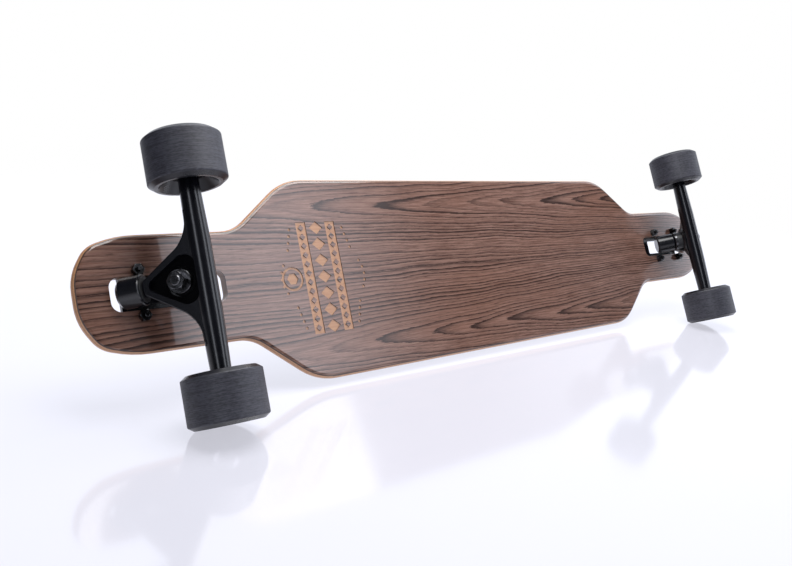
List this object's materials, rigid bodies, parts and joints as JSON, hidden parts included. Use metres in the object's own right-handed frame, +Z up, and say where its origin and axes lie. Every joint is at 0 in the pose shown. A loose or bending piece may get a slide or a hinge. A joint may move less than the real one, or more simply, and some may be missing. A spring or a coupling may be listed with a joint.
{
  "type": "longboard skateboard",
  "caption": "Drop-through longboard: laminated deck with narrow ends, reverse-kingpin trucks on compliant bushings and soft wheels on ball bearings.",
  "frame": {"origin": "on the ground under the middle of the deck, midway between the axles", "axes": "+X along the board towards its front end, +Y to the left across the board, +Z up from the wheels to the deck's top"},
  "size_m": [0.985, 0.2564, 0.1067],
  "materials": {
    "deck_ply": "satin",
    "stained_veneer": "gloss",
    "grip": "matt",
    "black_casting": "satin",
    "steel": "satin",
    "black_steel": "satin",
    "bushing_rubber": "satin",
    "cup_plastic": "matt",
    "urethane": "satin",
    "core_plastic": "gloss",
    "bearing_steel": "polished",
    "cage_plastic": "matt"
  },
  "bodies": {
    "board": {"deck_core": "deck_ply", "bottom_veneer": "stained_veneer", "grip_tape": "grip", "front_baseplate": "black_casting", "front_pivot_cup": "cup_plastic", "front_kingpin": "steel", "front_boardside_bushing": "bushing_rubber", "front_boardside_cup_washer": "steel", "front_roadside_bushing": "bushing_rubber", "front_roadside_cup_washer": "steel", "front_kingpin_nut": "steel", "front_mounting_bolts": "black_steel", "front_mounting_nuts": "black_steel", "rear_baseplate": "black_casting", "rear_pivot_cup": "cup_plastic", "rear_kingpin": "steel", "rear_boardside_bushing": "bushing_rubber", "rear_boardside_cup_washer": "steel", "rear_roadside_bushing": "bushing_rubber", "rear_roadside_cup_washer": "steel", "rear_kingpin_nut": "steel", "rear_mounting_bolts": "black_steel", "rear_mounting_nuts": "black_steel"},
    "front_truck": {"front_hanger": "black_casting", "front_axle": "steel", "front_speed_washers": "steel", "front_bearing_inner_rings": "bearing_steel", "front_bearing_spacers": "steel", "front_axle_nuts": "steel"},
    "front_left_wheel": {"front_left_tyre": "urethane", "front_left_core": "core_plastic", "front_left_bearing_outer_rings": "bearing_steel", "front_left_bearing_shields": "bearing_steel"},
    "front_left_ball_train": {"front_left_bearing_cages": "cage_plastic", "front_left_bearing_balls": "bearing_steel"},
    "front_right_wheel": {"front_right_tyre": "urethane", "front_right_core": "core_plastic", "front_right_bearing_outer_rings": "bearing_steel", "front_right_bearing_shields": "bearing_steel"},
    "front_right_ball_train": {"front_right_bearing_cages": "cage_plastic", "front_right_bearing_balls": "bearing_steel"},
    "rear_truck": {"rear_hanger": "black_casting", "rear_axle": "steel", "rear_speed_washers": "steel", "rear_bearing_inner_rings": "bearing_steel", "rear_bearing_spacers": "steel", "rear_axle_nuts": "steel"},
    "rear_left_wheel": {"rear_left_tyre": "urethane", "rear_left_core": "core_plastic", "rear_left_bearing_outer_rings": "bearing_steel", "rear_left_bearing_shields": "bearing_steel"},
    "rear_left_ball_train": {"rear_left_bearing_cages": "cage_plastic", "rear_left_bearing_balls": "bearing_steel"},
    "rear_right_wheel": {"rear_right_tyre": "urethane", "rear_right_core": "core_plastic", "rear_right_bearing_outer_rings": "bearing_steel", "rear_right_bearing_shields": "bearing_steel"},
    "rear_right_ball_train": {"rear_right_bearing_cages": "cage_plastic", "rear_right_bearing_balls": "bearing_steel"}
  },
  "joints": [
    {"name": "front_steer", "type": "hinge", "parent": "board", "child": "front_truck", "pos_m": [0.41335, 0, 0.04985], "axis": [0.7071, 0, 0.7071], "range_deg": [-18, 18], "stiffness_Nm_per_rad": 60, "deforming": ["front_boardside_bushing", "front_roadside_bushing"]},
    {"name": "front_left_spin", "type": "hinge", "parent": "front_truck", "child": "front_left_wheel", "pos_m": [0.3985, 0.105, 0.035], "axis": [0, 1, 0], "continuous": true},
    {"name": "front_left_ball_orbit", "type": "hinge", "parent": "front_truck", "child": "front_left_ball_train", "pos_m": [0.3985, 0.105, 0.035], "axis": [0, 1, 0], "continuous": true},
    {"name": "front_right_spin", "type": "hinge", "parent": "front_truck", "child": "front_right_wheel", "pos_m": [0.3985, -0.105, 0.035], "axis": [0, 1, 0], "continuous": true},
    {"name": "front_right_ball_orbit", "type": "hinge", "parent": "front_truck", "child": "front_right_ball_train", "pos_m": [0.3985, -0.105, 0.035], "axis": [0, 1, 0], "continuous": true},
    {"name": "rear_steer", "type": "hinge", "parent": "board", "child": "rear_truck", "pos_m": [-0.41335, 0, 0.04985], "axis": [-0.7071, 0, 0.7071], "range_deg": [-18, 18], "stiffness_Nm_per_rad": 60, "deforming": ["rear_boardside_bushing", "rear_roadside_bushing"]},
    {"name": "rear_left_spin", "type": "hinge", "parent": "rear_truck", "child": "rear_left_wheel", "pos_m": [-0.3985, 0.105, 0.035], "axis": [0, 1, 0], "continuous": true},
    {"name": "rear_left_ball_orbit", "type": "hinge", "parent": "rear_truck", "child": "rear_left_ball_train", "pos_m": [-0.3985, 0.105, 0.035], "axis": [0, 1, 0], "continuous": true},
    {"name": "rear_right_spin", "type": "hinge", "parent": "rear_truck", "child": "rear_right_wheel", "pos_m": [-0.3985, -0.105, 0.035], "axis": [0, 1, 0], "continuous": true},
    {"name": "rear_right_ball_orbit", "type": "hinge", "parent": "rear_truck", "child": "rear_right_ball_train", "pos_m": [-0.3985, -0.105, 0.035], "axis": [0, 1, 0], "continuous": true}
  ],
  "couplings": [
    {"joint": "front_left_ball_orbit", "follows": "front_left_spin", "ratio": 0.632},
    {"joint": "front_right_ball_orbit", "follows": "front_right_spin", "ratio": 0.632},
    {"joint": "rear_left_ball_orbit", "follows": "rear_left_spin", "ratio": 0.632},
    {"joint": "rear_right_ball_orbit", "follows": "rear_right_spin", "ratio": 0.632}
  ]
}
